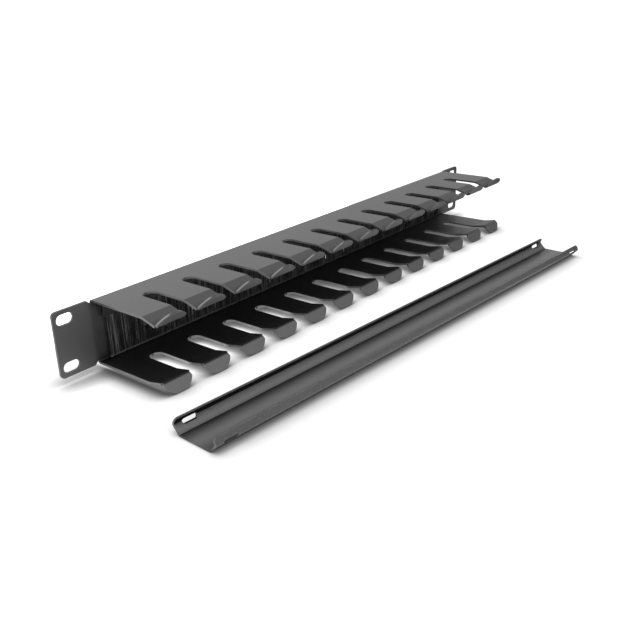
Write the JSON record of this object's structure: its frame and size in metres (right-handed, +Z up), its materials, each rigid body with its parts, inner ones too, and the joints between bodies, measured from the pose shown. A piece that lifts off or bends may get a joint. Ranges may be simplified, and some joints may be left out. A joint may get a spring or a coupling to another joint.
{
  "type": "horizontal cable manager",
  "caption": "One-unit rack panel with two rows of folded cable fingers, a strip brush behind them and a front cover that lies loose.",
  "frame": {"origin": "centre of the rack hole pattern on the panel's rear face, which lies on the rack posts", "axes": "+X along the panel, +Y out of the rear face into the rack, +Z up; the fingers point to -Y"},
  "size_m": [0.4826, 0.1607, 0.0521],
  "materials": {
    "black_steel": "satin black powder coat with a fine texture",
    "black_channel": "black folded strip, semi-matt",
    "black_bristle": "fine black nylon bristles"
  },
  "bodies": {
    "root": {"chassis": "black_steel", "brush_holder": "black_channel", "bristles": "black_bristle", "cover": "black_steel"}
  },
  "joints": []
}
